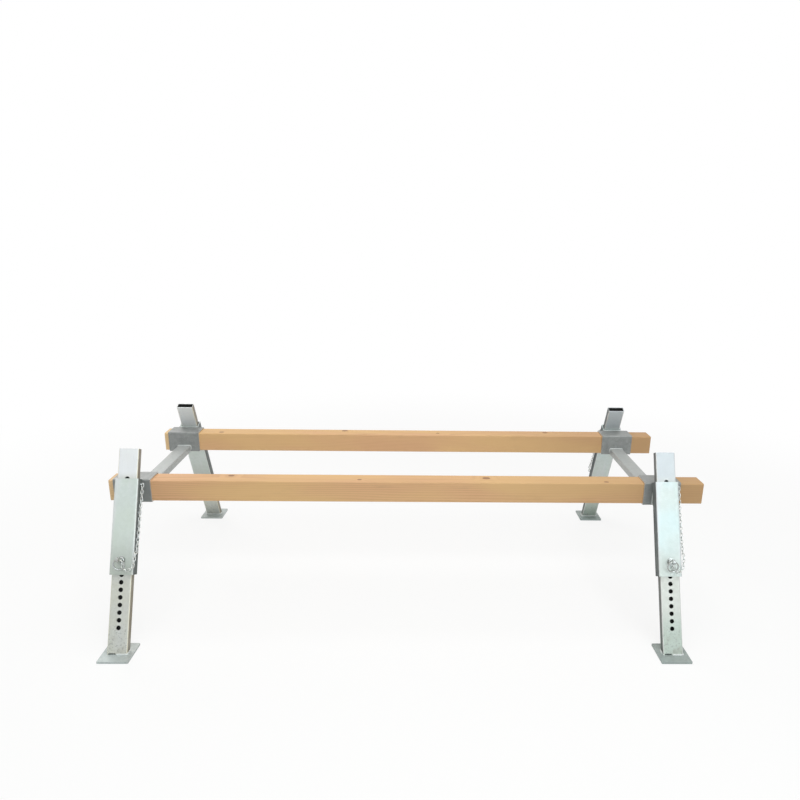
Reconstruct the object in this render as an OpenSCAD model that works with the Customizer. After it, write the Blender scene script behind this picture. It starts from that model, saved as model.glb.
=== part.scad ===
// Hive stand: two squared timbers carried by two galvanised end frames on telescopic legs.
// X runs along the timbers, the front faces -Y, Z is up from the floor.

/* [Timber rails] */
// Length of a rail
rail_len = 1550; // [1250:10:2200]
// Depth of a rail, front to back
rail_w = 56; // [40:1:90]
// Height of a rail
rail_h = 56; // [40:1:90]
// Rounding of a rail's long edges
rail_round = 3; // [1:0.5:6]
// Distance between the middles of the two rails
rail_gauge = 430; // [330:5:560]

/* [End frames] */
// From a rail's left end to the middle of the left end frame
left_overhang = 60; // [50:1:200]
// From a rail's right end to the middle of the right end frame
right_overhang = 110; // [50:1:250]
// Length of a rail socket
socket_len = 95; // [70:1:110]
// Wall of a rail socket
socket_wall = 3; // [2:0.5:5]
// Outer rounding of a rail socket
socket_round = 4; // [3:0.5:8]
// Gap between a rail and its socket at the sides and on top
rail_clear = 1; // [0.5:0.1:2]
// Width of the crossbar
bar_w = 40; // [25:1:60]
// Height of the crossbar
bar_h = 20; // [15:1:40]
// Wall of the crossbar
bar_wall = 2.5; // [1.5:0.5:4]
// Outer rounding of the crossbar
bar_round = 3; // [2:0.5:6]
// Thickness of a gusset between sleeve and socket
gusset_t = 4; // [3:0.5:8]
// From the sleeve's side to the gusset
gusset_inset = 6; // [4:0.5:15]

/* [Telescopic legs] */
// Lean of a leg from the upright
splay = 25; // [10:1:32]
// Width of the inner tube
tube_w = 50; // [40:1:70]
// Depth of the inner tube
tube_d = 20; // [18:1:40]
// Wall of the inner tube
tube_wall = 2.5; // [1.5:0.5:4]
// Outer rounding of the inner tube
tube_round = 3; // [2:0.5:5]
// Gap between the inner tube and the sleeve
tube_clear = 0.8; // [0.4:0.1:1.5]
// Wall of the leg sleeve
sleeve_wall = 4; // [2.5:0.5:5]
// Outer rounding of the leg sleeve
sleeve_round = 4; // [3:0.5:7]
// Distance between two holes of the row
hole_pitch = 18.5; // [16:0.5:25]
// Diameter of a hole
hole_d = 11; // [10.6:0.1:13]
// Holes in the row
tube_holes = 21; // [16:1:24]
// From the lowest hole to the foot plate
foot_margin = 60; // [45:1:90]
// From the highest hole to the open end of the tube
head_margin = 77; // [30:1:120]
// Length of the sleeve, in hole pitches
sleeve_pitches = 13; // [9:1:15]
// Whole holes that show below the sleeve
holes_shown = 7; // [2:1:8]
// Lock hole above the sleeve's lower end, in hole pitches
lock_pitches = 2; // [2:1:4]

/* [Feet] */
// Width of a foot plate
plate_w = 76; // [60:1:120]
// Depth of a foot plate
plate_d = 82; // [60:1:120]
// Thickness of a foot plate
plate_t = 5; // [3:0.5:8]
// Rounding of a foot plate's corners
plate_round = 2; // [1:0.5:10]
// Width of the drain notch at the foot of a tube
drain_w = 18; // [8:1:25]
// Height of the drain notch
drain_h = 3.5; // [2:0.5:6]

/* [Lock pins and rings] */
// Diameter of a lock pin
pin_d = 10; // [8:0.1:10]
// How far the pin reaches into the tube
pin_reach = 8; // [4:0.5:12]
// Diameter of the pin's collar
collar_d = 18; // [15:0.5:24]
// Thickness of the pin's collar
collar_t = 3; // [2:0.5:5]
// Diameter of the pin's neck, which carries the chain
neck_d = 8; // [6:0.5:9]
// Length of the pin's neck
neck_len = 13.5; // [12.5:0.5:16]
// Outer diameter of the pin's eye
eye_d = 13; // [11:0.5:16]
// Thickness of the pin's eye
eye_t = 6; // [4:0.5:7]
// Outer diameter of the pull ring
ring_d = 30; // [27:0.5:36]
// Wire of the pull ring
ring_wire = 3.5; // [2.5:0.5:4]
// Gap between the ring's wire and the eye
ring_clear = 0.75; // [0.6:0.05:1]

/* [Chains] */
// Wire of a chain link
link_wire = 1.8; // [1.5:0.1:2]
// Inner length of a link
link_len = 9.5; // [9:0.5:11]
// Inner width of a link
link_w = 4.2; // [3.9:0.1:4.8]
// Least play between two links
link_play = 0.4; // [0.3:0.05:0.8]
// Wire of the anchor eye on the sleeve
anchor_wire = 3; // [2.5:0.1:3.2]
// Reach of the anchor eye from the sleeve's side
anchor_reach = 7; // [6.5:0.5:10]
// From the sleeve's upper end to the anchor eye
anchor_drop = 14; // [10:1:40]
// Gap between the chain and the faces that it hangs beside
chain_clear = 0.9; // [0.7:0.1:1.5]
// How far the slack hangs below the lock pin
chain_slack = 26; // [24:1:30]
// Radius of the slack's bend
slack_r = 13; // [12.5:0.5:15]

/* [Rail screws] */
// Diameter of a rail screw
screw_d = 8; // [6:0.5:10]
// Length of a rail screw below its head
screw_len = 38; // [25:1:45]
// Width of the screw's hexagon across its flats
screw_flats = 13; // [10:1:17]
// Height of the screw's hexagon
screw_head = 5.5; // [4:0.5:8]
// Diameter of the flange under the screw's hexagon
flange_d = 18; // [15:1:24]
// Thickness of that flange
flange_t = 1.5; // [1:0.5:3]
// Gap round the screw in the socket
screw_clear = 0.5; // [0.3:0.1:1]

/* [Hidden] */
$fn = 32;
eps = 1;
fit = 0.1;

// Legs: the corner's end is -1 left or 1 right, its row is -1 front or 1 rear
front_left = [-1, -1];
front_right = [1, -1];
rear_left = [-1, 1];
rear_right = [1, 1];

// Sleeve round the tube, and stations along the leg from the middle of its foot
sleeve_w = tube_w + 2 * (tube_clear + sleeve_wall);
sleeve_d = tube_d + 2 * (tube_clear + sleeve_wall);
half_w = sleeve_w / 2;
half_d = sleeve_d / 2;
sleeve_len = sleeve_pitches * hole_pitch;
sleeve_low = foot_margin + holes_shown * hole_pitch;
sleeve_top = sleeve_low + sleeve_len;
pin_at = sleeve_low + lock_pitches * hole_pitch;
tube_len = foot_margin + (tube_holes - 1) * hole_pitch + head_margin;
foot_drop = tube_d / 2 * tan(splay);

// Sockets: the sleeve's upper rear edge is level with the socket's top and its rear face lies on the rounding
socket_w = rail_w + 2 * (rail_clear + socket_wall);
socket_h = rail_h + rail_clear + 2 * socket_wall;
socket_top = plate_t + sleeve_top * cos(splay) - half_d * sin(splay);
socket_low = socket_top - socket_h;
socket_out = rail_gauge / 2 + socket_w / 2;
seat_out = socket_out - socket_round + socket_round * (1 - sin(splay)) / cos(splay);
foot_out = seat_out + sleeve_top * sin(splay) + half_d * cos(splay);
rail_low = socket_low + socket_wall;
bar_len = rail_gauge - socket_w;

// Pin and ring, seen from the middle of the leg
collar_out = half_d + collar_t;
eye_out = collar_out + neck_len + eye_d / 2;
ring_r = (ring_d - ring_wire) / 2;
eye_hole = ring_wire + 2 * ring_clear;

// Chain: an end loop on the pin's neck, an anchor eye on the sleeve and links on a spline between them
link_out = link_w + 2 * link_wire;
neck_play = 0.3;
loop_angle = 45;
loop_in = neck_d / 2 + (link_wire + 2 * link_play) / 2 + neck_play;
loop_r = loop_in + link_wire / 2;
loop_shift = loop_in - neck_d / 2 - neck_play;
loop_way = [cos(loop_angle), 0, -sin(loop_angle)];
loop_out = collar_out + link_out / 2 + chain_clear;
loop_mid = [0, -loop_out, pin_at] + loop_shift * loop_way;
chain_end = loop_mid + (loop_r - link_wire / 2 - link_play / 2) * loop_way;
anchor_x = half_w + anchor_reach - anchor_wire / 2;
anchor_z = sleeve_top - anchor_drop;
chain_start = [anchor_x, 0, anchor_z + anchor_wire / 2 + link_play / 2];

// Route: down the sleeve's side, round its front edge, then a half round of slack in front of it
side_x = half_w + link_out / 2 + chain_clear;
side_upper_y = -0.3 * half_d;
side_lower_y = -0.7 * half_d;
front_y = -half_d - link_out / 2 - chain_clear;
edge_step = 0.8 * (link_out / 2 + chain_clear);
slack_x = chain_end[0] + slack_r;
slack_z = pin_at - chain_slack + slack_r;
slack_turn = 45;
chain_route = concat(
    [
        chain_start,
        [side_x, side_upper_y, (anchor_z + pin_at) / 2],
        [side_x, side_lower_y, slack_z + 3 * slack_r],
        [half_w + edge_step, -half_d - edge_step, slack_z + 2 * slack_r]
    ],
    [for (turn = [0 : slack_turn : 180]) [
        slack_x + slack_r * cos(turn),
        front_y - (loop_out + front_y) * turn / 180,
        slack_z - slack_r * sin(turn)
    ]],
    [chain_end]);
spline_steps = 16;
chain_line = spline(chain_route, spline_steps);
chain_runs = running_length(chain_line);
chain_len = chain_runs[len(chain_runs) - 1];
links = 2 * ceil(chain_len / (link_len - link_play) / 2);
link_step = chain_len / links;

function frame_x(end) = end < 0 ? -rail_len / 2 + left_overhang : rail_len / 2 - right_overhang;

function unit(v) = v / norm(v);

// Catmull-Rom point between b and c
function spline_point(a, b, c, d, t) =
    (2 * b + (c - a) * t + (2 * a - 5 * b + 4 * c - d) * t * t + (3 * b - a - 3 * c + d) * t * t * t) / 2;

function spline(p, steps) = concat(
    [for (i = [0 : len(p) - 2], k = [0 : steps - 1])
        spline_point(p[max(i - 1, 0)], p[i], p[i + 1], p[min(i + 2, len(p) - 1)], k / steps)],
    [p[len(p) - 1]]);

function running_length(p) =
    [for (i = 0, s = 0; i < len(p); s = s + (i + 1 < len(p) ? norm(p[i + 1] - p[i]) : 0), i = i + 1) s];

// Point of the chain's line at a running length
function chain_at(s) =
    [for (axis = [0 : 2]) lookup(s, [for (i = [0 : len(chain_line) - 1]) [chain_runs[i], chain_line[i][axis]]])];

// Corner's own frame on the floor: the stand's middle plane at y = 0, outwards along -y
module at_corner(corner) {
    turn = corner[1] > 0 ? 180 : 0;
    side = corner[1] > 0 ? -1 : 1;
    rotate([0, 0, turn]) translate([side * frame_x(corner[0]), 0, 0]) children();
}

// Leg's own frame: z up the leg from the middle of its foot, -y out of its front face
module at_leg(corner) {
    at_corner(corner) translate([0, -foot_out, plate_t]) rotate([-splay, 0, 0]) children();
}

module rounded(w, h, r) {
    square([w - 2 * r, h], center = true);
    square([w, h - 2 * r], center = true);
    for (x = [-1, 1], y = [-1, 1])
        translate([x * (w / 2 - r), y * (h / 2 - r)]) circle(r);
}

module hollow(w, h, wall, r) {
    difference() {
        rounded(w, h, r);
        rounded(w - 2 * wall, h - 2 * wall, max(r - wall, 1));
    }
}

// Lays a profile's x along Y, its y along Z and its length along X
module along_x(length) {
    rotate([90, 0, 90]) linear_extrude(length, center = true) children();
}

module torus(r, wire) {
    rotate_extrude() translate([r, 0]) circle(d = wire);
}

module half_torus(r, wire) {
    rotate([0, 0, -90]) rotate_extrude(angle = 180) translate([r, 0]) circle(d = wire);
}

module rail(row) {
    color("burlywood") difference() {
        translate([0, row * rail_gauge / 2, rail_low + rail_h / 2]) along_x(rail_len) rounded(rail_w, rail_h, rail_round);
        for (end = [-1, 1])
            translate([frame_x(end), row * rail_gauge / 2, rail_low - eps])
                cylinder(d = screw_d + 2 * fit, h = screw_len - socket_wall + fit + eps);
    }
}

module rail_screws() {
    color("silver") for (end = [-1, 1], row = [-1, 1])
        translate([frame_x(end), row * rail_gauge / 2, socket_low]) {
            cylinder(d = screw_d, h = screw_len);
            translate([0, 0, -flange_t]) cylinder(d = flange_d, h = flange_t);
            translate([0, 0, -flange_t - screw_head])
                cylinder(d = screw_flats / cos(30), h = screw_head, $fn = 6);
        }
}

module crossbar(end) {
    color("gainsboro") translate([frame_x(end), 0, socket_low + bar_h / 2])
        rotate([90, 0, 0]) linear_extrude(bar_len, center = true) hollow(bar_w, bar_h, bar_wall, bar_round);
}

module socket(corner) {
    color("darkgray") at_corner(corner) difference() {
        translate([0, -rail_gauge / 2, socket_low + socket_h / 2])
            along_x(socket_len) hollow(socket_w, socket_h, socket_wall, socket_round);
        translate([0, -rail_gauge / 2, socket_low - eps])
            cylinder(d = screw_d + 2 * screw_clear, h = socket_wall + 2 * eps);
    }
}

module sleeve(corner) {
    color("lightgray") at_leg(corner) difference() {
        translate([0, 0, sleeve_low]) linear_extrude(sleeve_len) hollow(sleeve_w, sleeve_d, sleeve_wall, sleeve_round);
        translate([0, 0, pin_at]) rotate([90, 0, 0]) cylinder(d = hole_d, h = half_d + eps);
    }
}

// A pair of wedge plates between the socket's front wall and the sleeve's rear wall
module gussets(corner) {
    high = socket_top - socket_round;
    low = socket_low + socket_round;
    mid_out = socket_out - socket_round;
    high_out = mid_out + socket_round / cos(splay);
    low_out = high_out + (high - low) * tan(splay);
    color("darkgray") at_corner(corner) for (side = [-1, 1])
        translate([side * (half_w - gusset_inset - gusset_t / 2), 0, 0]) along_x(gusset_t)
            polygon([[-socket_out, high], [-socket_out, low], [-low_out, low], [-high_out, high]]);
}

module tube(corner) {
    color("gainsboro") at_leg(corner) difference() {
        translate([0, 0, -foot_drop - eps])
            linear_extrude(tube_len + foot_drop + eps) hollow(tube_w, tube_d, tube_wall, tube_round);
        for (i = [0 : tube_holes - 1])
            translate([0, 0, foot_margin + i * hole_pitch])
                rotate([90, 0, 0]) cylinder(d = hole_d, h = tube_d / 2 + eps);
        rotate([splay, 0, 0]) translate([-tube_w, -tube_w, -tube_w]) cube([2 * tube_w, 2 * tube_w, tube_w]);
        translate([-tube_w / 4 - drain_w / 2, -tube_d / 2 - eps, -foot_drop - drain_h])
            cube([drain_w, tube_wall + 2 * eps, 2 * drain_h]);
    }
}

module foot(corner) {
    color("darkgray") at_corner(corner) translate([0, -foot_out, 0])
        linear_extrude(plate_t) rounded(plate_w, plate_d, plate_round);
}

// Turned pin with collar and neck, and a drilled eye for the ring
module pin(corner) {
    tip = tube_d / 2 - tube_wall - pin_reach;
    bevel = pin_d / 5;
    color("silver") at_leg(corner) translate([0, 0, pin_at]) rotate([90, 0, 0]) {
        rotate_extrude() polygon([
            [0, tip], [pin_d / 2 - bevel, tip], [pin_d / 2, tip + bevel], [pin_d / 2, half_d],
            [collar_d / 2, half_d], [collar_d / 2, collar_out], [neck_d / 2, collar_out],
            [neck_d / 2, eye_out - eye_hole / 2 - eps], [0, eye_out - eye_hole / 2 - eps]]);
        translate([0, 0, eye_out]) rotate([0, 90, 0]) difference() {
            cylinder(d = eye_d, h = eye_t, center = true);
            cylinder(d = eye_hole, h = eye_t + 2 * eps, center = true);
        }
    }
}

// Pull ring, hanging straight down from the eye
module ring(corner) {
    color("silver") at_leg(corner) translate([0, -eye_out, pin_at]) rotate([splay, 0, 0])
        translate([0, 0, -ring_r]) rotate([90, 0, 0]) torus(ring_r, ring_wire);
}

module anchor(corner) {
    bend_r = (link_w + link_wire * 2) / 2;
    stem = anchor_x - half_w - bend_r;
    color("silver") at_leg(corner) translate([half_w, 0, anchor_z]) {
        translate([stem, 0, 0]) half_torus(bend_r, anchor_wire);
        for (y = [-bend_r, bend_r])
            translate([0, y, 0]) rotate([0, 90, 0]) cylinder(d = anchor_wire, h = stem);
    }
}

// One link with its length along x, lying in the xy plane
module link() {
    bend_r = (link_w + link_wire) / 2;
    straight = link_len - link_w;
    for (turn = [0, 180]) rotate([0, 0, turn]) {
        translate([straight / 2, 0, 0]) half_torus(bend_r, link_wire);
        translate([-straight / 2, bend_r, 0]) rotate([0, 90, 0]) cylinder(d = link_wire, h = straight);
    }
}

// Links between equal steps of the chain's line, each turned a quarter against the next, and the end loop
module chain(corner) {
    front = [0, -1, 0];
    color("silver") at_leg(corner) {
        for (i = [0 : links - 1]) {
            a = chain_at(i * link_step);
            b = chain_at((i + 1) * link_step);
            way = unit(b - a);
            mid = (a + b) / 2;
            up = unit(front - (front * way) * way);
            flat = i % 2 == 0 ? cross(way, up) : up;
            normal = cross(way, flat);
            multmatrix([
                [way[0], flat[0], normal[0], mid[0]],
                [way[1], flat[1], normal[1], mid[1]],
                [way[2], flat[2], normal[2], mid[2]],
                [0, 0, 0, 1]]) link();
        }
        translate(loop_mid) rotate([90, 0, 0]) torus(loop_r, link_wire);
    }
}

rail(-1);  // rail_front
rail(1);  // rail_rear
rail_screws();
crossbar(-1);  // crossbar_left
crossbar(1);  // crossbar_right
socket(front_left);  // socket_front_left
socket(front_right);  // socket_front_right
socket(rear_left);  // socket_rear_left
socket(rear_right);  // socket_rear_right
sleeve(front_left);  // sleeve_front_left
sleeve(front_right);  // sleeve_front_right
sleeve(rear_left);  // sleeve_rear_left
sleeve(rear_right);  // sleeve_rear_right
gussets(front_left);  // gussets_front_left
gussets(front_right);  // gussets_front_right
gussets(rear_left);  // gussets_rear_left
gussets(rear_right);  // gussets_rear_right
tube(front_left);  // tube_front_left
tube(front_right);  // tube_front_right
tube(rear_left);  // tube_rear_left
tube(rear_right);  // tube_rear_right
foot(front_left);  // foot_front_left
foot(front_right);  // foot_front_right
foot(rear_left);  // foot_rear_left
foot(rear_right);  // foot_rear_right
pin(front_left);  // pin_front_left
pin(front_right);  // pin_front_right
pin(rear_left);  // pin_rear_left
pin(rear_right);  // pin_rear_right
ring(front_left);  // ring_front_left
ring(front_right);  // ring_front_right
ring(rear_left);  // ring_rear_left
ring(rear_right);  // ring_rear_right
anchor(front_left);  // anchor_front_left
anchor(front_right);  // anchor_front_right
anchor(rear_left);  // anchor_rear_left
anchor(rear_right);  // anchor_rear_right
chain(front_left);  // chain_front_left
chain(front_right);  // chain_front_right
chain(rear_left);  // chain_rear_left
chain(rear_right);  // chain_rear_right
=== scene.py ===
from math import cos, radians, sin
import bpy
import numpy as np
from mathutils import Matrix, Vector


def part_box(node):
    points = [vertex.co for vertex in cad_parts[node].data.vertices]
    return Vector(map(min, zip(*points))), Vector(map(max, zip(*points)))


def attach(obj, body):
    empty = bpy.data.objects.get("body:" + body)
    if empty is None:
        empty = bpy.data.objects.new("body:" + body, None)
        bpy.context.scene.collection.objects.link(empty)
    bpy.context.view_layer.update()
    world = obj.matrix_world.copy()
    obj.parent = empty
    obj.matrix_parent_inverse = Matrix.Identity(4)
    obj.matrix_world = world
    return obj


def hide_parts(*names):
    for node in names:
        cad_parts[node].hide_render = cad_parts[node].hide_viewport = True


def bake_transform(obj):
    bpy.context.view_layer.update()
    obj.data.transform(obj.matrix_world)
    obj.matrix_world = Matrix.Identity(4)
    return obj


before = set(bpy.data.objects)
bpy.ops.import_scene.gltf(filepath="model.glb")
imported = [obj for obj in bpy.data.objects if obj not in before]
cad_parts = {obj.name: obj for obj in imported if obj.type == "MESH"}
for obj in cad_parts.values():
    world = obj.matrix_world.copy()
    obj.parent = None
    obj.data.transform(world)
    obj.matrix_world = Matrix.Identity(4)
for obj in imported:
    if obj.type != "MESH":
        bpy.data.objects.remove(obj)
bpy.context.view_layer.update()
scene = bpy.context.scene
scene.view_settings.view_transform = "Standard"
print("frame loaded:", len(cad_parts), "nodes")

# the photograph's viewpoint, image taken as 800 x 800
viewpoint = {
    "place": (0.00417, -1.95331, 1.02253),
    "turn": (72.3563, -0.8151, -1.1368),  # degrees
    "lens": 31.517,  # mm, as the sensor
    "sensor": 36,
    "shift": (-0.034, 0.06),
    "nearest": 0.05,
}

camera = bpy.data.objects.new("camera", bpy.data.cameras.new("camera"))
scene.collection.objects.link(camera)
camera.location = viewpoint["place"]
camera.rotation_euler = [radians(angle) for angle in viewpoint["turn"]]
camera.data.lens = viewpoint["lens"]
camera.data.sensor_width = viewpoint["sensor"]
camera.data.shift_x, camera.data.shift_y = viewpoint["shift"]
camera.data.clip_start = viewpoint["nearest"]
scene.camera = camera
print("camera set")


# middle and half extents of a node's box
def middleAndHalf(node):
    low, high = (np.array(end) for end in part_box(node))
    return (low + high) / 2, (high - low) / 2


# the leg's own axes, as in the solids: z up the leg from the foot, -y out of its front face
footMiddle, footHalf = middleAndHalf("foot_front_left")
leg = {
    "splay": radians(25),
    "footOut": -footMiddle[1],
    "plate": 2 * footHalf[2],
    "tubeRound": 0.003,
    "sleeve": {"halfWidth": middleAndHalf("sleeve_front_left")[1][0], "halfDepth": 0.0148, "wall": 0.004},
    "tube": {"halfWidth": middleAndHalf("tube_front_left")[1][0], "halfDepth": 0.010, "wall": 0.0025},
}

# each corner: its leg's middle along x, and 1 at the front or -1 at the rear, which is turned half round
corners = {}
for row, facing in (("front", 1), ("rear", -1)):
    for hand in ("left", "right"):
        corner = row + "_" + hand
        corners[corner] = (middleAndHalf("sleeve_" + corner)[0][0], facing)


# one value in a shader tree; the operators add Math nodes
class Value:
    def __init__(self, finish, socket):
        self.finish = finish
        self.socket = socket

    def maths(self, operation, *values):
        return self.finish.node("ShaderNodeMath", {"operation": operation}, dict(enumerate(values)))

    def __add__(self, other):
        return self.maths("ADD", self, other)

    def __radd__(self, other):
        return self.maths("ADD", other, self)

    def __sub__(self, other):
        return self.maths("SUBTRACT", self, other)

    def __rsub__(self, other):
        return self.maths("SUBTRACT", other, self)

    def __mul__(self, other):
        return self.maths("MULTIPLY", self, other)

    def __rmul__(self, other):
        return self.maths("MULTIPLY", other, self)

    def __truediv__(self, other):
        return self.maths("DIVIDE", self, other)

    def __rtruediv__(self, other):
        return self.maths("DIVIDE", other, self)

    def __neg__(self):
        return self.maths("MULTIPLY", self, -1.0)

    def root(self):
        return self.maths("SQRT", self)

    def size(self):
        return self.maths("ABSOLUTE", self)

    def part(self):
        return self.maths("FRACT", self)

    def most(self, other):
        return self.maths("MAXIMUM", self, other)

    def least(self, other):
        return self.maths("MINIMUM", self, other)

    # 0 below low, 1 above high, smooth in between
    def rise(self, low, high):
        return self.finish.node("ShaderNodeMapRange", {"interpolation_type": "SMOOTHSTEP"},
                                {"Value": self, "From Min": low, "From Max": high})

    # 1 below low, 0 above high
    def fall(self, low, high):
        return 1.0 - self.rise(low, high)


# the shader tree of a material or of the world, and the one way to add a node to it
class Finish:
    def __init__(self, name, owner=None):
        self.owner = owner or bpy.data.materials.new(name)
        self.owner.use_nodes = True
        self.tree = self.owner.node_tree
        self.shader = self.tree.nodes.get("Principled BSDF")

    def node(self, kind, settings=None, sockets=None, out=0):
        made = self.tree.nodes.new(kind)
        for key, value in (settings or {}).items():
            setattr(made, key, value)
        for key, value in (sockets or {}).items():
            self.feed(made.inputs[key], value)
        return Value(self, made.outputs[out])

    def feed(self, socket, value):
        if isinstance(value, Value):
            self.tree.links.new(value.socket, socket)
        else:
            socket.default_value = value

    def place(self):
        return self.node("ShaderNodeTexCoord", out="Object")

    # 1 for the rays that show the backdrop: to the eye, in mirrors and through glass
    def shown(self):
        rays = (self.node("ShaderNodeLightPath", out="Is " + kind + " Ray")
                for kind in ("Camera", "Glossy", "Transmission"))
        return sum(rays).least(1.0)

    def split(self, vector):
        first = self.node("ShaderNodeSeparateXYZ", None, {0: vector})
        outs = first.socket.node.outputs
        return first, Value(self, outs[1]), Value(self, outs[2])

    def join(self, x, y, z):
        return self.node("ShaderNodeCombineXYZ", None, {0: x, 1: y, 2: z})

    # the place stretched by one factor along each axis
    def stretched(self, vector, factors):
        return self.node("ShaderNodeVectorMath", {"operation": "MULTIPLY"}, {0: vector, 1: factors})

    # noise by its scale or stretch and its detail; where given, only a range of it counts, by a share
    def layer(self, spot, look):
        noise = self.node("ShaderNodeTexNoise", None, {
            "Vector": self.stretched(spot, look["stretch"]) if "stretch" in look else spot,
            "Scale": look.get("scale", 1.0),
            "Detail": look["detail"],
            "Roughness": look.get("rough", 0.55),
        })
        if "range" in look:
            noise = noise.rise(*look["range"])
        return noise * look["share"] if "share" in look else noise

    # noise that sways to either side of nought, by half its reach at most
    def sway(self, spot, look):
        return (self.layer(spot, look) - 0.5) * look["reach"]

    # colour a where the share is 0, colour b where it is 1; sockets 6 and 7 are the colours
    def between(self, share, a, b):
        a, b = (colour if isinstance(colour, Value) else (*colour, 1.0) for colour in (a, b))
        return self.node("ShaderNodeMix", {"data_type": "RGBA"}, {0: share, 6: a, 7: b}, out=2)

    def bump(self, height, look):
        return self.node("ShaderNodeBump", None,
                         {"Height": height, "Distance": look["depth"], "Strength": look["strength"]})

    # what varies is linked, what is the same all over is set on the socket
    def done(self, **sockets):
        for key, value in sockets.items():
            self.feed(self.shader.inputs[key.replace("_", " ")], value)
        return self.owner


# planed softwood rails, growth rings about a pith that wanders along the rail
pine = {
    "early": (0.675, 0.425, 0.196),
    "late": (0.50, 0.275, 0.115),
    "pink": (0.660, 0.380, 0.205),
    "darkBrown": (0.385, 0.222, 0.102),
    "paleTone": (0.80, 0.60, 0.34),
    "knot": (0.30, 0.140, 0.055),
    "bark": (0.10, 0.042, 0.018),
    "dirt": (0.20, 0.13, 0.08),
    # a ring goes from early to late wood, and steps back sharply
    "ring": {"gap": 0.0046, "late": (0.42, 0.93), "step": (0.955, 1.0),
             "share": 0.16, "tonedShare": 0.50, "sawnShare": 0.5},
    "swayAcross": {"scale": 1.1, "detail": 1.0, "reach": 0.034},
    "swayUp": {"scale": 1.6, "detail": 1.0, "reach": 0.030, "row": 3.1},
    "ripple": {"stretch": (3.0, 34.0, 34.0), "detail": 3.0, "reach": 0.0065},
    "fibre": {"stretch": (9.0, 620.0, 620.0), "detail": 3.0, "rough": 0.6},
    "darkFibre": {"range": (0.50, 0.78), "share": 0.20},
    "tone": {"stretch": (2.2, 9.0, 9.0), "detail": 2.0, "pinkFrom": (0.36, 0.66), "lateFrom": (0.30, 0.70)},
    "grime": {"stretch": (7.0, 22.0, 22.0), "detail": 4.0, "range": (0.60, 0.80), "share": 0.16},
    "sawnSkin": (0.0006, 0.0002),
    # drying cracks in the sawn ends, drawn by direction from the pith
    "cracks": {"detail": 2.0, "range": (0.58, 0.64), "share": 0.5,
               "reach": 90.0, "spread": 40.0, "pith": 0.4},
    "paleEnd": {"range": (0.72, 0.755), "share": 0.55},
    "darkening": {"along": (0.10, 0.70), "alongShare": 0.45, "end": (0.66, 0.735), "endShare": 0.20,
                "sawnShare": 0.35, "toneShare": 0.12, "most": 0.8},
    # ranges, depth and gap are in shares of the knot's own size
    "knots": {"oval": 0.55, "lean": 6.0, "bow": (0.4, 4.5), "bowDepth": 0.9, "rim": (0.75, 1.05),
              "barkFrom": (0.60, 0.90), "ringGap": 0.17,
              "coreShare": 0.88, "heartShare": 0.35, "barkShare": 0.55, "most": 0.85},
    "relief": {"late": 0.35, "fibre": 0.5, "knot": 0.3, "depth": 0.00035, "strength": 0.45},
    "gloss": {"rough": 0.50, "fibre": 0.22, "sawn": 0.15, "late": 0.06},
    # pith off the rail's middle, start of the noise, and each knot's place along and across and its size
    "rails": {
        "rail_front": {"pith": (0.014, -0.047), "start": 0.0,
                       "knots": [(-0.47, 0.012, 0.0065), (-0.13, -0.009, 0.0045),
                                 (0.205, 0.006, 0.008), (0.52, -0.014, 0.005)]},
        "rail_rear": {"pith": (-0.020, -0.052), "start": 7.3,
                      "knots": [(-0.60, -0.010, 0.006), (-0.21, 0.013, 0.0075),
                                (0.09, -0.004, 0.0045), (0.44, 0.010, 0.0065)]},
    },
}


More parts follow.
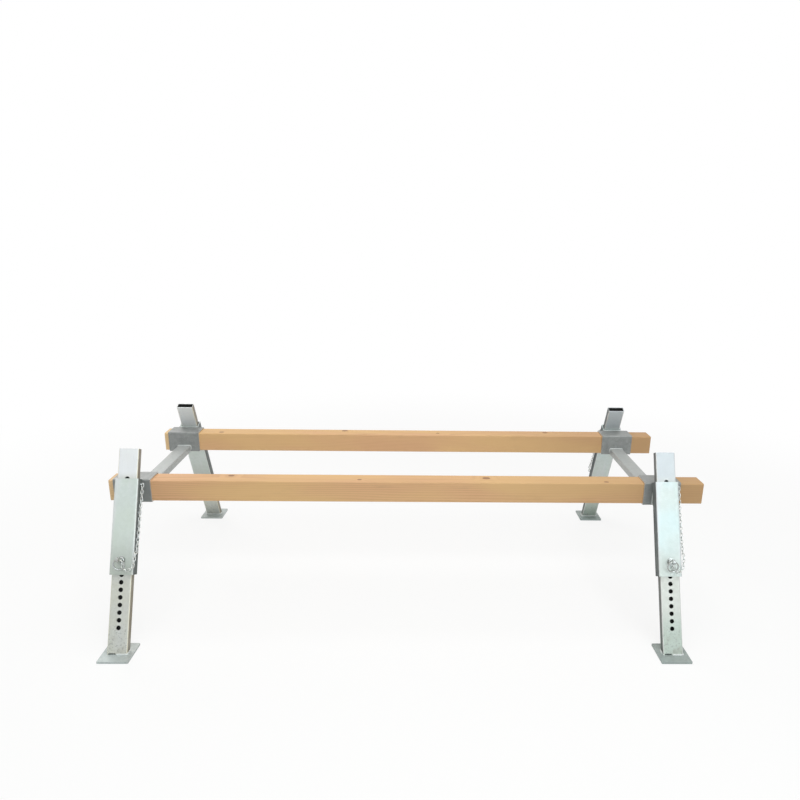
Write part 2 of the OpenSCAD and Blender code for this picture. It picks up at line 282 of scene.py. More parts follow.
def planedPine(name):
    rail, knots, ring = pine["rails"][name], pine["knots"], pine["ring"]
    darkening, cracks = pine["darkening"], pine["cracks"]
    (_, middleY, middleZ), (halfLength, _, _) = middleAndHalf(name)
    finish = Finish(name + "_pine")
    spot = finish.place()
    x, y, z = finish.split(spot)
    along = x + rail["start"]
    swayY = finish.sway(finish.join(along, 0.0, 0.0), pine["swayAcross"])
    swayZ = finish.sway(finish.join(along, pine["swayUp"]["row"], 0.0), pine["swayUp"])
    fromPithY = y - (middleY + rail["pith"][0]) + swayY
    fromPithZ = z - (middleZ + rail["pith"][1]) + swayZ
    radius = (fromPithY * fromPithY + fromPithZ * fromPithZ).root() + finish.sway(spot, pine["ripple"])

    # each knot is a branch that runs up from the pith; rings bow round it
    core = bark = heart = None
    for atX, atY, size in rail["knots"]:
        offX = x - atX
        offY = y - (middleY + atY) - (z - middleZ) * (atY * knots["lean"])
        gap = (offX * offX * knots["oval"] + offY * offY).root() / size
        radius = radius + gap.fall(*knots["bow"]) * (size * knots["bowDepth"])
        within = gap.fall(*knots["rim"])
        line = within * gap.rise(*knots["barkFrom"])
        rings = within * (gap / knots["ringGap"]).part()
        core = within if core is None else core.most(within)
        bark = line if bark is None else bark.most(line)
        heart = rings if heart is None else heart.most(rings)

    turn = (radius / ring["gap"]).part()
    late = turn.rise(*ring["late"]) * turn.fall(*ring["step"])
    fibre = finish.layer(spot, pine["fibre"])
    tone = finish.layer(spot, pine["tone"])
    sawn = x.size().rise(*(halfLength - skin for skin in pine["sawnSkin"]))
    colour = finish.between(tone.rise(*pine["tone"]["pinkFrom"]), pine["early"], pine["pink"])
    lateShare = tone.rise(*pine["tone"]["lateFrom"]) * ring["tonedShare"]
    lateShare = lateShare + ring["share"] + sawn * ring["sawnShare"]
    colour = finish.between((late * lateShare).least(1.0), colour, pine["late"])
    darkFibre = fibre.rise(*pine["darkFibre"]["range"]) * pine["darkFibre"]["share"]
    colour = finish.between(darkFibre, colour, pine["late"])

    # the rails darken to the right, their left ends are pale, and the sawn ends drink more of the weather
    paleEnd = (-x).rise(*pine["paleEnd"]["range"]) * pine["paleEnd"]["share"]
    colour = finish.between(paleEnd, colour, pine["paleTone"])
    darkened = x.rise(*darkening["along"]) * darkening["alongShare"]
    darkened = darkened + x.rise(*darkening["end"]) * darkening["endShare"]
    darkened = darkened + sawn * darkening["sawnShare"] + tone * darkening["toneShare"]
    colour = finish.between(darkened.least(darkening["most"]), colour, pine["darkBrown"])
    colour = finish.between(core * knots["coreShare"], colour, pine["knot"])
    darkKnot = heart * knots["heartShare"] + bark * knots["barkShare"]
    colour = finish.between(darkKnot.least(knots["most"]), colour, pine["bark"])
    spread = radius * cracks["spread"] + cracks["pith"]
    crackY, crackZ = (off * cracks["reach"] / spread for off in (fromPithY, fromPithZ))
    cracked = sawn * finish.layer(finish.join(0.0, crackY, crackZ), cracks)
    colour = finish.between(finish.layer(spot, pine["grime"]) + cracked, colour, pine["dirt"])

    relief, gloss = pine["relief"], pine["gloss"]
    height = late * relief["late"] + fibre * relief["fibre"] - core * relief["knot"]
    rough = gloss["rough"] + fibre * gloss["fibre"] + sawn * gloss["sawn"] - late * gloss["late"]
    return finish.done(Base_Color=colour, Roughness=rough, Metallic=0.0, Normal=finish.bump(height, relief))


# zinc by piece: tones, gloss, crystals per metre and the share of scratches; left and right as seen from
# the front are lit and shaded copies of one zinc, with painted shade, painted reflection and painted
# highlight
zinc = {
    "sleeve": {
        "bright": (0.655, 0.715, 0.70), "dull": (0.55, 0.61, 0.585),
        "film": (0.76, 0.735, 0.82), "filmShare": 0.50,
        "rough": 0.38, "metal": 0.20, "crystals": 120.0, "rub": 0.10, "inner": 0.95, "outerShade": 0.25,
        # per hand: a cast tinted by painted reflection, the painted shade of the narrow sides, and the
        # painted highlight of the edges
        "left": {"cast": (0.575, 0.645, 0.575), "side": (0.078, 0.092, 0.092), "edge": (0.80, 0.81, 0.80)},
        "right": {"cast": (0.58, 0.74, 0.77), "side": (0.045, 0.057, 0.060), "edge": (0.81, 0.82, 0.84)},
    },
    "tube": {
        "bright": (0.605, 0.615, 0.58), "dull": (0.505, 0.515, 0.475),
        "film": (0.56, 0.57, 0.60), "filmShare": 0.30,
        "rough": 0.35, "metal": 0.22, "crystals": 135.0, "rub": 0.45, "inner": 0.88, "outerShade": 0.25,
        # per hand, as for the sleeve: painted reflection in the cast, painted shade on the sides, painted
        # highlight on the edges
        "left": {"cast": (0.60, 0.595, 0.475), "side": (0.19, 0.158, 0.108), "edge": (0.80, 0.765, 0.62)},
        "right": {"cast": (0.55, 0.58, 0.545), "side": (0.065, 0.072, 0.072), "edge": (0.80, 0.81, 0.79)},
    },
    "foot": {
        "rough": 0.48, "metal": 0.22, "crystals": 100.0, "rub": 0.06,
        # the right plate is the same steel as the left, darkened with painted shade
        "left": {"bright": (0.50, 0.535, 0.52), "dull": (0.37, 0.40, 0.39), "cast": (0.43, 0.48, 0.48)},
        "right": {"bright": (0.365, 0.412, 0.398), "dull": (0.27, 0.308, 0.298),
                  "cast": (0.314, 0.37, 0.367)},
    },
    # the sockets are darkened all over with painted shade
    "socket": {
        "bright": (0.31, 0.32, 0.315), "dull": (0.20, 0.208, 0.205), "cast": (0.24, 0.25, 0.245),
        "rough": 0.42, "metal": 0.30, "crystals": 105.0, "rub": 0.05,
        "cutEnds": {"range": (0.80, 0.97), "share": 0.65},
    },
    "frame": {
        "bright": (0.46, 0.475, 0.47), "dull": (0.33, 0.345, 0.34), "cast": (0.38, 0.40, 0.395),
        "rough": 0.44, "metal": 0.30, "crystals": 110.0, "rub": 0.08,
    },
    "weld": {
        "bright": (0.66, 0.69, 0.68), "dull": (0.50, 0.52, 0.515), "cast": (0.58, 0.62, 0.61),
        "rough": 0.58, "metal": 0.35, "crystals": 260.0, "rub": 0.0,
    },
    "rubbed": (0.80, 0.81, 0.80),
    "speck": (0.24, 0.25, 0.25),
    "relief": {"depth": 0.00022, "strength": 0.30},
}

# what all zinc has: bent crystals, cloud, streaks from the dip, white bloom, dark specks and scratches
dip = {
    "bend": {"scale": 160.0, "detail": 2.0, "depth": 0.006},
    "fineness": 2.7,
    "cloud": {"scale": 14.0, "detail": 4.0, "rough": 0.6},
    "streak": {"stretch": (150.0, 60.0, 7.0), "detail": 3.0},
    "cast": {"scale": 7.0, "detail": 2.0, "range": (0.40, 0.66), "share": 0.7},
    "bloom": {"scale": 38.0, "detail": 5.0, "rough": 0.65, "range": (0.60, 0.78), "share": 0.30},
    "bloomColour": (0.78, 0.81, 0.81),
    "specks": {"scale": 420.0, "detail": 2.0, "range": (0.70, 0.78), "share": 0.40},
    "scratch": {"stretch": (900.0, 120.0, 14.0), "detail": 2.0, "range": (0.60, 0.72)},
    "brightness": {"crystal": 0.42, "fine": 0.18, "cloud": 0.55, "streak": 0.35, "less": 0.08},
    "gloss": {"less": 0.10, "crystal": 0.12, "cloud": 0.14, "bloom": 0.3, "scratch": 0.2},
    "height": {"crystal": 0.5, "streak": 0.35, "specks": 0.4},
}


# spangle on the given place: its colour, roughness and height
def spangle(finish, spot, coat):
    bend = dip["bend"]
    drift = finish.node("ShaderNodeTexNoise", None,
                        {"Vector": spot, "Scale": bend["scale"], "Detail": bend["detail"]}, out="Color")
    bent = finish.node("ShaderNodeVectorMath", {"operation": "ADD"},
                       {0: spot, 1: finish.stretched(drift, (bend["depth"],) * 3)})
    coarse, fine = (finish.node("ShaderNodeTexVoronoi", {"feature": "F1"},
                                {"Vector": bent, "Scale": coat["crystals"] * times}, out="Color")
                    for times in (1.0, dip["fineness"]))
    shade, tilt, _ = finish.split(coarse)
    fineShade, _, _ = finish.split(fine)
    cloud = finish.layer(spot, dip["cloud"])
    streak = finish.layer(spot, dip["streak"])
    bloom = finish.layer(spot, dip["bloom"])
    specks = finish.layer(spot, dip["specks"])
    scratch = finish.layer(spot, dip["scratch"]) * coat["rub"]

    weight = dip["brightness"]
    bright = shade * weight["crystal"] + fineShade * weight["fine"] + cloud * weight["cloud"]
    bright = bright + (streak - 0.5) * weight["streak"] - weight["less"]
    colour = finish.between(bright.most(0.0).least(1.0), coat["dull"], coat["bright"])
    colour = finish.between(finish.layer(spot, dip["cast"]), colour, coat["cast"])
    colour = finish.between(bloom, colour, dip["bloomColour"])
    colour = finish.between(specks, colour, zinc["speck"])
    colour = finish.between(scratch, colour, zinc["rubbed"])

    weight = dip["gloss"]
    rough = coat["rough"] - weight["less"] + tilt * weight["crystal"] + cloud * weight["cloud"]
    rough = rough + bloom * weight["bloom"] - scratch * weight["scratch"]
    weight = dip["height"]
    height = shade * weight["crystal"] + streak * weight["streak"] + specks * weight["specks"]
    return colour, rough, height


def galvanised(kind, hand=None):
    coat = {**zinc[kind], **zinc[kind].get(hand, {})}
    finish = Finish("_".join(filter(None, (kind, "zinc", hand))))
    colour, rough, height = spangle(finish, finish.place(), coat)
    if "cutEnds" in coat:
        # sawn ends are bright: they face along the rails
        along, _, _ = finish.split(finish.node("ShaderNodeTexCoord", out="Normal"))
        cutEnds = along.size().rise(*coat["cutEnds"]["range"]) * coat["cutEnds"]["share"]
        colour = finish.between(cutEnds, colour, zinc["rubbed"])
    return finish.done(Base_Color=colour, Roughness=rough, Metallic=coat["metal"],
                       Normal=finish.bump(height, zinc["relief"]))


# wear of sleeves and tubes, with painted shade and painted highlight on them; ranges are lengths up the leg
# from its foot, skins are depths in from a face
wearAndPaintedLight = {
    "film": {"stretch": (30.0, 30.0, 4.0), "detail": 2.0, "range": (0.46, 0.68)},
    "lowerSleeve": {"range": (0.195, 0.31), "colour": (0.40, 0.43, 0.375), "left": 0.68, "right": 0.20},
    "upperTubeLightAndShade": {"range": (0.415, 0.450), "share": 0.72,
                  "left": (0.845, 0.87, 0.915), "right": (0.51, 0.555, 0.605)},
    "lowerTube": {"range": (0.040, 0.130), "colour": (0.377, 0.457, 0.40), "left": 0.06, "right": 0.74},
    "holes": {"first": 0.060, "pitch": 0.0185, "count": 21, "radius": 0.0055, "blur": 0.01,
              "skin": (0.0006, 0.0002), "rim": 0.0012, "colour": (0.20, 0.20, 0.19), "share": 0.60},
    "drag": {"stretch": (1400.0, 1.0, 9.0), "detail": 2.0, "share": 0.35, "half": (0.003, 0.006)},
    "spatter": {"scale": 240.0, "detail": 2.0, "range": (0.56, 0.64), "share": 0.50,
                "height": (0.030, 0.095)},
    "soil": {"scale": 55.0, "detail": 4.0, "rough": 0.6, "range": (0.42, 0.68), "height": (0.0, 0.075),
             "colour": (0.33, 0.305, 0.25), "colourShare": 0.36, "dulling": 0.2},
    "side": {"skin": (0.002, 0.0003), "dulling": 0.22},
    "sideShadeBreakup": {"stretch": (60.0, 60.0, 16.0), "detail": 4.0, "rough": 0.6,
               "range": (0.35, 0.70), "share": 0.16},
    "edge": {"stretch": (40.0, 40.0, 55.0), "detail": 3.0, "range": (0.30, 0.70), "share": 0.25,
             "least": 0.55, "skin": (0.0030, 0.0010)},
    "boreShade": {"skin": (0.0003, 0.0008), "colour": (0.022, 0.023, 0.022), "dulling": 0.4},
}


# the shaded place in a leg's own axes: fromLeg and fromCorner undone
def legSpot(finish, corner):
    middle, facing = corners[corner]
    x, y, z = finish.split(finish.place())
    out, up = y * facing + leg["footOut"], z - leg["plate"]
    c, s = cos(leg["splay"]), sin(leg["splay"])
    return (x - middle) * facing, out * c - up * s, out * s + up * c


# marks on a tube from its upper end down to its foot: the colour with them, and the share of soil
def tubeMarks(finish, colour, axes, spot, hand):
    x, y, z = axes
    upper, lower, holes, drag, spatter, soil = (
        wearAndPaintedLight[key] for key in ("upperTubeLightAndShade", "lowerTube", "holes", "drag", "spatter", "soil"))
    # painted light on the upper ends: a bright bluish painted highlight on the left, painted shade on the
    # right
    colour = finish.between(z.rise(*upper["range"]) * upper["share"], colour, upper[hand])
    # the pin drags along the row of holes, and each hole has a dark rim of dirt and painted shade
    front = (-y).rise(*(leg["tube"]["halfDepth"] - skin for skin in holes["skin"]))
    step = (z - holes["first"]) / holes["pitch"] + 0.5
    blur, count = holes["blur"], holes["count"]
    inRow = step.rise(-blur, blur) * step.fall(count - blur, count + blur) * front
    dragged = x.size().fall(*drag["half"]) * inRow * finish.layer(spot, drag)
    colour = finish.between(dragged, colour, zinc["rubbed"])
    offHole = (step.part() - 0.5) * holes["pitch"]
    fromHole = (x * x + offHole * offHole).root()
    rim = fromHole.fall(holes["radius"], holes["radius"] + holes["rim"]) * inRow
    colour = finish.between(rim * holes["share"], colour, holes["colour"])
    # the tube darkens towards its foot, much more on the right, with fine spatter from the weld and
    # splashed soil
    colour = finish.between(z.fall(*lower["range"]) * lower[hand], colour, lower["colour"])
    spattered = finish.layer(spot, spatter) * z.fall(*spatter["height"])
    colour = finish.between(spattered, colour, zinc["speck"])
    splashed = z.fall(*soil["height"]) * finish.layer(spot, soil)
    return finish.between(splashed * soil["colourShare"], colour, soil["colour"]), splashed


# sleeve or tube of one leg: painted shade on the inner sides, rubbed edges with a painted highlight, and a
# bore painted dark as shade
def legZinc(kind, corner):
    middle, facing = corners[corner]
    hand = corner.split("_")[1]
    coat, form = {**zinc[kind], **zinc[kind][hand]}, leg[kind]
    finish = Finish(kind + "_zinc_" + corner)
    x, y, z = axes = legSpot(finish, corner)
    spot = finish.join(x, y, z)
    colour, rough, height = spangle(finish, spot, coat)
    # faint colours of the passivation, in bands down the leg
    colour = finish.between(finish.layer(spot, wearAndPaintedLight["film"]) * coat["filmShare"], colour, coat["film"])
    if kind == "tube":
        colour, soiled = tubeMarks(finish, colour, axes, spot, hand)
        rough = rough + soiled * wearAndPaintedLight["soil"]["dulling"]
    else:
        lower = wearAndPaintedLight["lowerSleeve"]
        colour = finish.between(z.fall(*lower["range"]) * lower[hand], colour, lower["colour"])

    # the narrow sides that face the middle of the stand are dull and carry painted shade and dark painted
    # reflection, the outer sides a little of it
    side, edge, boreShade = wearAndPaintedLight["side"], wearAndPaintedLight["edge"], wearAndPaintedLight["boreShade"]
    sideSkin = [form["halfWidth"] - skin for skin in side["skin"]]
    inward = x * (-facing if middle > 0 else facing)
    innerSide, outerSide = inward.rise(*sideSkin), (-inward).rise(*sideSkin)
    sideShade = innerSide * (coat["inner"] - finish.layer(spot, wearAndPaintedLight["sideShadeBreakup"])) + outerSide * coat["outerShade"]
    colour = finish.between(sideShade, colour, coat["side"])
    rough = rough + innerSide * side["dulling"]

    # on the rounded edges the zinc is rubbed bright and carries a painted highlight, in places more so
    across, depth = x.size(), y.size()
    onEdge = across.rise(*(form["halfWidth"] - skin for skin in edge["skin"]))
    onEdge = onEdge * depth.rise(*(form["halfDepth"] - skin for skin in edge["skin"]))
    colour = finish.between(onEdge * (finish.layer(spot, edge) + edge["least"]), colour, coat["edge"])
    # the bore is painted nearly black as shade
    inside = across.fall(*(form["halfWidth"] - form["wall"] + skin for skin in boreShade["skin"]))
    inside = inside * depth.fall(*(form["halfDepth"] - form["wall"] + skin for skin in boreShade["skin"]))
    colour = finish.between(inside, colour, boreShade["colour"])
    return finish.done(Base_Color=colour, Roughness=rough + inside * boreShade["dulling"],
                       Metallic=(1.0 - inside) * coat["metal"], Normal=finish.bump(height, zinc["relief"]))


# bright zinc plate on turned pins, rings and wire, warmer where the passivation is thick, with painted
# shade in fine dark patches
plating = {
    "pin": {"light": (0.44, 0.465, 0.465), "warm": (0.37, 0.365, 0.325),
            "cloud": {"scale": 90.0, "detail": 3.0}, "fine": {"scale": 810.0, "detail": 2.0}},
    "wire": {"light": (0.64, 0.665, 0.66), "warm": (0.55, 0.545, 0.50),
             "cloud": {"scale": 150.0, "detail": 3.0}, "fine": {"scale": 1350.0, "detail": 2.0}},
    "warmFrom": (0.42, 0.72),
    "dark": (0.085, 0.10, 0.105),
    "darkFrom": (0.62, 0.80),
    "darkShare": 0.5,
    "metal": 0.90,
    "gloss": {"rough": 0.17, "fine": 0.18},
    "relief": {"depth": 0.0001, "strength": 0.25},
}


def zincPlate(kind):
    coat, gloss = plating[kind], plating["gloss"]
    finish = Finish(kind + "_plate")
    spot = finish.place()
    cloud = finish.layer(spot, coat["cloud"])
    fine = finish.layer(spot, coat["fine"])
    colour = finish.between(cloud.rise(*plating["warmFrom"]), coat["light"], coat["warm"])
    colour = finish.between(fine.rise(*plating["darkFrom"]) * plating["darkShare"], colour, plating["dark"])
    return finish.done(Base_Color=colour, Roughness=gloss["rough"] + fine * gloss["fine"],
                       Metallic=plating["metal"], Normal=finish.bump(fine, plating["relief"]))


frameZinc, weldZinc = galvanised("frame"), galvanised("weld")
plateZinc = {hand: galvanised("foot", hand) for hand in ("left", "right")}
pinPlate, wirePlate = zincPlate("pin"), zincPlate("wire")
shared = {
    "socket": galvanised("socket"), "crossbar": frameZinc, "gussets": frameZinc,
    "pin": pinPlate, "ring": pinPlate, "anchor": pinPlate, "rail_screws": pinPlate, "chain": wirePlate,
}


# rails, sleeves and tubes each have their own finish, foot plates one by hand with painted shade on the
# right one, the rest one by kind
def finishOf(nodeName):
    kind, corner = nodeName.split("_", 1)
    if nodeName in pine["rails"]:
        return planedPine(nodeName)
    if kind in ("sleeve", "tube"):
        return legZinc(kind, corner)
    if kind == "foot":
        return plateZinc[corner.split("_")[1]]
    return shared.get(nodeName) or shared[kind]


for nodeName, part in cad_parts.items():
    part.data.materials.clear()
    part.data.materials.append(finishOf(nodeName))
print("rails finished in pine, steel in zinc")


# a corner's frame on the floor to the stand's frame: rear corners are turned half round
def fromCorner(points, corner):
    middle, facing = corners[corner]
    return points * np.array([facing, facing, 1.0]) + np.array([middle, 0.0, 0.0])


# leg frame to corner frame: a turn by the splay about x, then out to the foot
def fromLeg(points):
    c, s = cos(leg["splay"]), sin(leg["splay"])
    turn = np.array([[1, 0, 0], [0, c, s], [0, -s, c]])
    return points @ turn.T + np.array([0.0, -leg["footOut"], leg["plate"]])


# vectors brought to length 1
def unit(vectors):
    return vectors / np.linalg.norm(vectors, axis=-1, keepdims=True)


# length along a polyline at each of its points
def runAlong(points):
    return np.concatenate([[0.0], np.cumsum(np.linalg.norm(np.diff(points, axis=0), axis=1))])


# so many points at even lengths along a polyline, and those lengths
def evenly(points, count):
    run = runAlong(points)
    lengths = np.linspace(0, run[-1], count)
    return np.stack([np.interp(lengths, run, points[:, axis]) for axis in range(3)], 1), lengths


# a round profile on a path: path + radius x (cos a x out + sin a x up), for each turn a
def roundOn(path, out, up, radius, steps):
    turns = np.linspace(0, 2 * np.pi, steps, endpoint=False)[None, :, None]
    return path[:, None] + radius * (np.cos(turns) * out[:, None] + np.sin(turns) * up[:, None])


# quads of many grids at once: rows along a path, columns closed round a profile
def gridQuads(grids, rows, columns, closedRows):
    r = np.arange(rows if closedRows else rows - 1)
    g, r, c = np.meshgrid(np.arange(grids), r, np.arange(columns), indexing="ij")
    first = g * rows * columns
    here, below = first + r * columns, first + (r + 1) % rows * columns
    right = (c + 1) % columns
    return np.stack([here + c, here + right, below + right, below + c], -1).reshape(-1, 4)


def addPiece(name, points, quads, material):
    mesh = bpy.data.meshes.new(name)
    mesh.from_pydata(points.tolist(), [], quads.tolist())
    mesh.polygons.foreach_set("use_smooth", np.ones(len(quads), bool))
    mesh.materials.append(material)
    mesh.validate()
    mesh.update()
    piece = bpy.data.objects.new(name, mesh)
    scene.collection.objects.link(piece)
    return piece


# chain of welded links from the anchor eye to the pin, the same line and links as in the solids
chain = {
    # a link: its wire, inner length and width, the play between links and the room beside the sleeve
    "wire": 0.0018, "length": 0.0095, "width": 0.0042, "play": 0.0004, "clear": 0.0009,
    # the slack: how far it hangs below the pin, and its bend
    "slack": 0.026, "slackRadius": 0.013, "slackStops": 5,
    # the pin: its height up the leg, where its collar ends, its neck, and how the end loop is pulled
    "pinAt": 0.2265, "collarOut": 0.0178, "neck": 0.008, "neckPlay": 0.0003, "pullDown": radians(45),
    # the eye on the side of the sleeve
    "sleeveTop": 0.430, "anchorDrop": 0.014, "anchorReach": 0.007, "anchorWire": 0.003,
    # on its way down the line comes forward and passes the edge, by shares of the half depth and the room
    "forward": (0.3, 0.7), "edgeHug": 0.8,
    # its last stops above the slack, in radii of the bend
    "sideStop": 3, "edgeStop": 2,
    # up the leg: where the chain stays with the sleeve, and where it follows the pin
    "stillAt": 0.405, "followsAt": 0.2385,
    # steps of the mesh
    "lineSteps": 16, "bendSteps": 10, "sideSteps": 4, "wireSteps": 10, "loopSteps": 48,
}


# smooth cubic from b to c: (2b + (c - a)t + (2a - 5b + 4c - d)t2 + (3b - a - 3c + d)t3) / 2
def smoothLine(points):
    ends = np.vstack([points[:1], points, points[-1:]])
    a, b, c, d = (ends[i:len(ends) - 3 + i, None] for i in range(4))
    t = np.linspace(0, 1, chain["lineSteps"], endpoint=False)[None, :, None]
    bend, swing = 2 * a - 5 * b + 4 * c - d, 3 * b - a - 3 * c + d
    line = (2 * b + (c - a) * t + bend * t ** 2 + swing * t ** 3) / 2
    return np.vstack([line.reshape(-1, 3), points[-1:]])


# the chain's line in the leg's axes, with the middle and radius of its end loop
def chainLine():
    wire, play, clear = chain["wire"], chain["play"], chain["clear"]
    sag, pinAt = chain["slackRadius"], chain["pinAt"]
    halfWidth, halfDepth = leg["sleeve"]["halfWidth"], leg["sleeve"]["halfDepth"]
    outside = chain["width"] + 2 * wire
    # the end loop lies round the pin's neck, pulled down and to the side until it bears on it
    pull = np.array([cos(chain["pullDown"]), 0, -sin(chain["pullDown"])])
    loopIn = chain["neck"] / 2 + wire / 2 + play + chain["neckPlay"]
    loopRadius = loopIn + wire / 2
    loopOut = chain["collarOut"] + outside / 2 + clear
    loopMiddle = np.array([0, -loopOut, pinAt]) + (loopIn - chain["neck"] / 2 - chain["neckPlay"]) * pull
    last = loopMiddle + (loopRadius - wire / 2 - play / 2) * pull
    # from the eye down the sleeve's side and round its front edge
    anchorZ, halfEye = chain["sleeveTop"] - chain["anchorDrop"], chain["anchorWire"] / 2
    first = [halfWidth + chain["anchorReach"] - halfEye, 0, anchorZ + halfEye + play / 2]
    sideX, frontY = halfWidth + outside / 2 + clear, -halfDepth - outside / 2 - clear
    hug = chain["edgeHug"] * (outside / 2 + clear)
    # then a hanging half round that ends below the loop
    slackZ = pinAt - chain["slack"] + sag
    turn = np.linspace(0, np.pi, chain["slackStops"])
    slack = np.stack([last[0] + sag * (1 + np.cos(turn)), frontY - (loopOut + frontY) * turn / np.pi,
                      slackZ - sag * np.sin(turn)], 1)
    points = np.vstack([
        first,
        [sideX, -chain["forward"][0] * halfDepth, (anchorZ + pinAt) / 2],
        [sideX, -chain["forward"][1] * halfDepth, slackZ + chain["sideStop"] * sag],
        [halfWidth + hug, -halfDepth - hug, slackZ + chain["edgeStop"] * sag],
        slack,
        last,
    ])
    return smoothLine(points), loopMiddle, loopRadius


# a stadium in the xy plane, two half rounds and two straight runs, and its outward directions
def linkPath():
    half = np.linspace(-np.pi / 2, np.pi / 2, chain["bendSteps"])
    radius, straight = (chain["width"] + chain["wire"]) / 2, chain["length"] - chain["width"]
    run = np.linspace(straight / 2, -straight / 2, chain["sideSteps"] + 2)[1:-1]
    endOut = np.stack([np.cos(half), np.sin(half), 0 * half], 1)
    runOut = np.repeat([[0.0, 1.0, 0.0]], len(run), 0)
    endX = np.full(len(half), straight / 2)
    spine = np.concatenate([endX, run, -endX, -run])[:, None] * np.array([1.0, 0.0, 0.0])
    out = np.vstack([endOut, runOut, -endOut, -runOut])
    return spine + radius * out, out


# links laid head to tail along the line, each turned a quarter from the last, and the end loop
def chainPoints():
    line, loopMiddle, loopRadius = chainLine()
    pairs = np.ceil(runAlong(line)[-1] / (chain["length"] - chain["play"]) / 2)
    stops, _ = evenly(line, int(2 * pairs) + 1)
    way = unit(np.diff(stops, axis=0))
    outOfFace = np.array([0.0, -1.0, 0.0])
    lift = unit(outOfFace - (way @ outOfFace)[:, None] * way)
    isEven = (np.arange(len(way)) % 2 == 0)[:, None]
    flat = np.where(isEven, np.cross(way, lift), lift)
    axes = np.stack([way, flat, np.cross(way, flat)], 1)
    path, out = linkPath()
    oneLink = roundOn(path, out, np.array([[0.0, 0.0, 1.0]]), chain["wire"] / 2, chain["wireSteps"])
    links = np.einsum("rci,kij->krcj", oneLink, axes) + ((stops[1:] + stops[:-1]) / 2)[:, None, None]
    turn = np.linspace(0, 2 * np.pi, chain["loopSteps"], endpoint=False)
    loopWay = np.stack([np.cos(turn), 0 * turn, -np.sin(turn)], 1)
    loopPath = loopMiddle + loopRadius * loopWay
    return links, roundOn(loopPath, loopWay, -outOfFace[None], chain["wire"] / 2, chain["wireSteps"])


links, loop = chainPoints()
linkQuads = gridQuads(*links.shape[:3], closedRows=True)
loopQuads = gridQuads(1, *loop.shape[:2], closedRows=True) + links[..., 0].size
chainMesh = np.vstack([links.reshape(-1, 3), loop.reshape(-1, 3)])
chainQuads = np.vstack([linkQuads, loopQuads])
hang = np.array([[leg["sleeve"]["halfWidth"], 0, chain[key]] for key in ("stillAt", "followsAt")])
for corner in corners:
    points = fromCorner(fromLeg(chainMesh), corner)
    piece = addPiece("chainLinks_" + corner, points, chainQuads, wirePlate)
    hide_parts("chain_" + corner)
    # where the chain stays with the sleeve and where it follows the pin, in the stand's frame
    start, end = fromCorner(fromLeg(hang), corner)
    "lock_" + corner
    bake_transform(piece)
print("chains linked:", len(links), "links each")

# weld beads at the feet and on the end frames
weld = {
    # bead radius by seam
    "foot": 0.0029, "seat": 0.0016, "gusset": 0.0015, "bar": 0.0019,
    # ripples by their share of the radius and their pitch, and the steps of the mesh
    "ripple": 0.045, "pitch": 0.0024, "stepsPerPitch": 6, "around": 10, "arcSteps": 7,
    # a bead thins out over so many radii to its tip; a steep one takes x and not z for its guide
    "taper": 1.4, "tip": 0.02, "steep": 0.9,
    # how far beads stand off the steel
    "lift": 0.0004, "gussetLift": 0.0003,
    # at the foot: from the notch to a share of the half depth on the narrow side
    "notchEdge": -0.0025, "footEnd": 0.5,
    # on the socket's upper edge: half its length, and how far in and down it sits
    "seatHalf": 0.026, "seatIn": 0.0024, "seatDown": 0.0008,
    # rounding of socket and crossbar, and how far below the crossbar's middle its bead ends
    "socketRound": 0.004, "barRound": 0.003, "barLow": 0.004,
}


# bead along a polyline: radius x (1 + ripple x sin(2 pi s / pitch)) at length s, thin at both ends
def bead(points, radius):
    steps = int(runAlong(points)[-1] / weld["pitch"] * weld["stepsPerPitch"])
    path, lengths = evenly(points, steps)
    way = unit(np.gradient(path, axis=0))
    isLevel = (np.abs(way[:, 2]) < weld["steep"])[:, None]
    side = unit(np.cross(way, np.where(isLevel, [[0.0, 0.0, 1.0]], [[1.0, 0.0, 0.0]])))
    fromEnd = np.clip(np.minimum(lengths, lengths[-1] - lengths) / (weld["taper"] * radius), 0.0, 1.0)
    wide = radius * np.sqrt(np.clip(1 - (1 - fromEnd) ** 2, weld["tip"], 1))
    wide = wide * (1 + weld["ripple"] * np.sin(2 * np.pi * lengths / weld["pitch"]))
    return roundOn(path, side, np.cross(side, way), wide[:, None, None], weld["around"])


# outline of a rounded rectangle as four arcs, from the front right corner round to the front left
def roundedRing(halfX, halfY, radius):
    quarter = np.linspace(0, np.pi / 2, weld["arcSteps"])
    arcs = []
    for turn, (wayX, wayY) in enumerate(((1, -1), (1, 1), (-1, 1), (-1, -1))):
        angle = quarter + (turn - 1) * np.pi / 2
        arcs.append(np.stack([wayX * (halfX - radius) + radius * np.cos(angle),
                              wayY * (halfY - radius) + radius * np.sin(angle)], 1))
    return arcs


def joinBeads(beads):
    quads, start = [], 0
    for one in beads:
        quads.append(gridQuads(1, *one.shape[:2], closedRows=False) + start)
        start += one[..., 0].size
    return np.vstack([one.reshape(-1, 3) for one in beads]), np.vstack(quads)


# round the foot of a tube from the drain notch on, as far as the narrow side beside it
def footBead():
    halfX, halfY = leg["tube"]["halfWidth"], leg["tube"]["halfDepth"] / cos(leg["splay"])
    arcs = roundedRing(halfX, halfY, leg["tubeRound"])
    path = np.vstack([[weld["notchEdge"], -halfY], *arcs[:3], [-halfX, -weld["footEnd"] * halfY]])
    height = np.full(len(path), leg["plate"] + weld["lift"])
    return bead(np.column_stack([path[:, 0], path[:, 1] - leg["footOut"], height]), weld["foot"])


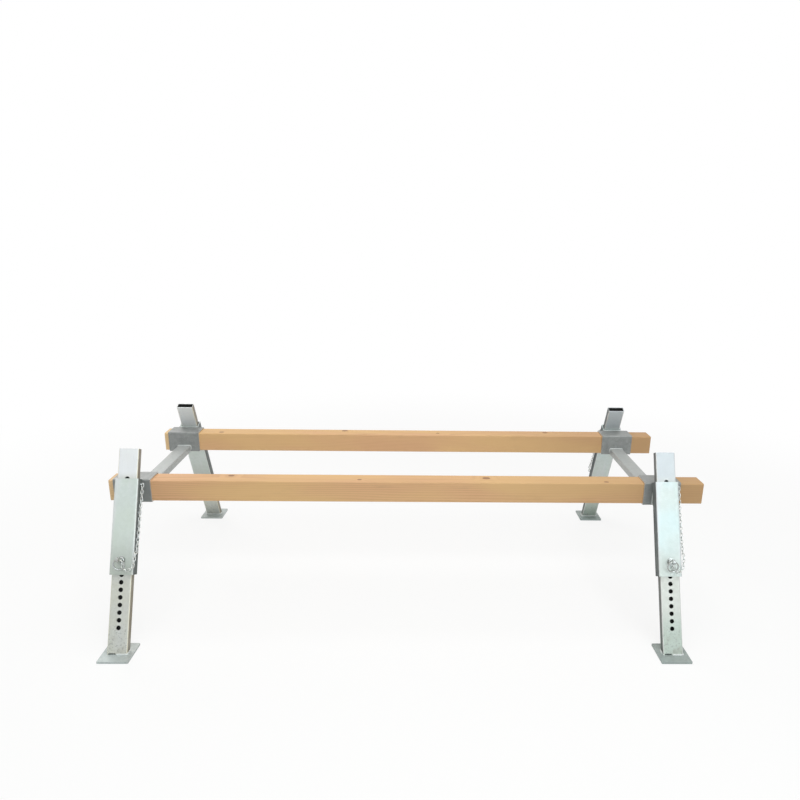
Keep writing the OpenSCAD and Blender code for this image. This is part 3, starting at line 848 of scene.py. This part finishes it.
# seams of an end frame at one corner: sleeve on socket, both gussets, crossbar on socket
def frameBeads():
    socketLow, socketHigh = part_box("socket_front_left")
    gussetOut = middleAndHalf("gussets_front_left")[1][0]
    barMiddle, barHalf = middleAndHalf("crossbar_left")
    face, splay, rounded = socketLow.y, leg["splay"], weld["socketRound"]
    seatY, seatZ = face + weld["seatIn"], socketHigh.z - weld["seatDown"]
    beads = [bead(np.array([[end * weld["seatHalf"], seatY, seatZ] for end in (-1, 1)]), weld["seat"])]
    # the sleeve's back leaves the socket's rounded edge and falls away by the splay
    high, low = socketHigh.z - rounded, socketLow.z + rounded
    backHigh = face + rounded - rounded / cos(splay)
    backLow = backHigh - (high - low) * np.tan(splay)
    faceY = face - weld["gussetLift"]
    for side in (-1, 1):
        atX = side * (gussetOut + weld["gussetLift"])
        onSocket = [[atX, faceY, low], [atX, faceY, high]]
        onSleeve = [[atX, backLow + weld["lift"], low], [atX, backHigh + weld["lift"], high]]
        beads.extend(bead(np.array(seam), weld["gusset"]) for seam in (onSocket, onSleeve))
    # over the crossbar, from side to side
    arcs = roundedRing(barHalf[0], barHalf[2], weld["barRound"])
    arch = np.vstack([[barHalf[0], -weld["barLow"]], *arcs[1:3], [-barHalf[0], -weld["barLow"]]])
    barEnd = np.full(len(arch), -barHalf[1] + weld["lift"])
    beads.append(bead(np.column_stack([arch[:, 0], barEnd, arch[:, 1] + barMiddle[2]]), weld["bar"]))
    return beads


footPoints, footQuads = joinBeads([footBead()])
framePoints, frameQuads = joinBeads(frameBeads())
for corner in corners:
    points = fromCorner(footPoints, corner)
    piece = addPiece("footWeld_" + corner, points, footQuads, weldZinc)
    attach(piece, "leg_" + corner)
    points = fromCorner(framePoints, corner)
    piece = addPiece("frameWeld_" + corner, points, frameQuads, weldZinc)
    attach(piece, "stand")
print("welds laid")

# pale floor that runs into white, and a white world that is dimmer as light
studio = {
    "floorHalf": 9, "floorTone": (0.86, 0.86, 0.86), "floorRough": 0.9, "lift": 0.80, "fade": (1.0, 2.6),
    "white": (1.0, 1.0, 1.0), "ambient": 0.32, "ambientColour": (0.985, 1.0, 0.955),
}

half = studio["floorHalf"]
floorMesh = bpy.data.meshes.new("floor")
floorCorners = [(-half, -half, 0), (half, -half, 0), (half, half, 0), (-half, half, 0)]
floorMesh.from_pydata(floorCorners, [], [(0, 1, 2, 3)])
floor = bpy.data.objects.new("floor", floorMesh)
scene.collection.objects.link(floor)
pale = Finish("floor_pale")
pale.done(Base_Color=(*studio["floorTone"], 1.0), Roughness=studio["floorRough"])
glow = pale.node("ShaderNodeEmission", None, {"Color": (*studio["white"], 1.0), "Strength": 1.0})
# near the object the floor keeps its shadow, further out it runs into the white
floorX, floorY, _ = pale.split(pale.place())
far = (floorX * floorX + floorY * floorY).root().rise(*studio["fade"])
whiteShare = pale.shown() * (far * (1.0 - studio["lift"]) + studio["lift"])
lit = Value(pale, pale.shader.outputs[0])
mixed = pale.node("ShaderNodeMixShader", None, {0: whiteShare, 1: lit, 2: glow})
pale.feed(pale.tree.nodes["Material Output"].inputs["Surface"], mixed)
floorMesh.materials.append(pale.owner)

# the world is white where it shows, and soft and dimmer as light
scene.world = bpy.data.worlds.new("studio")
sky = Finish("studio", scene.world)
soft = sky.node("ShaderNodeBackground", None,
                {"Color": (*studio["ambientColour"], 1.0), "Strength": studio["ambient"]})
clear = sky.node("ShaderNodeBackground", None, {"Color": (*studio["white"], 1.0), "Strength": 1.0})
mixed = sky.node("ShaderNodeMixShader", None, {0: sky.shown(), 1: soft, 2: clear})
sky.feed(sky.tree.nodes["World Output"].inputs["Surface"], mixed)

# soft lamps: places and sizes in metres, turns in degrees, power in watts
lamps = {
    "overhead": {"place": (0.1, -0.4, 3.3), "turn": (6, 2, 0), "size": 3.0,
                 "power": 72.0, "colour": (1.0, 0.99, 0.97)},
    "window": {"place": (0.85, -3.3, 2.0), "turn": (62, 0, 13), "size": 2.4,
               "power": 50.0, "colour": (0.88, 0.975, 1.0)},
    "backRim": {"place": (-2.4, 2.2, 2.0), "turn": (60, 0, 226), "size": 1.8,
                "power": 24.0, "colour": (1.0, 0.98, 0.95)},
}
for lampName, lamp in lamps.items():
    light = bpy.data.lights.new(lampName, "AREA")
    light.size = lamp["size"]
    light.energy = lamp["power"]
    light.color = lamp["colour"]
    holder = bpy.data.objects.new(lampName, light)
    scene.collection.objects.link(holder)
    holder.location = lamp["place"]
    holder.rotation_euler = [radians(angle) for angle in lamp["turn"]]
print("floor and light set")
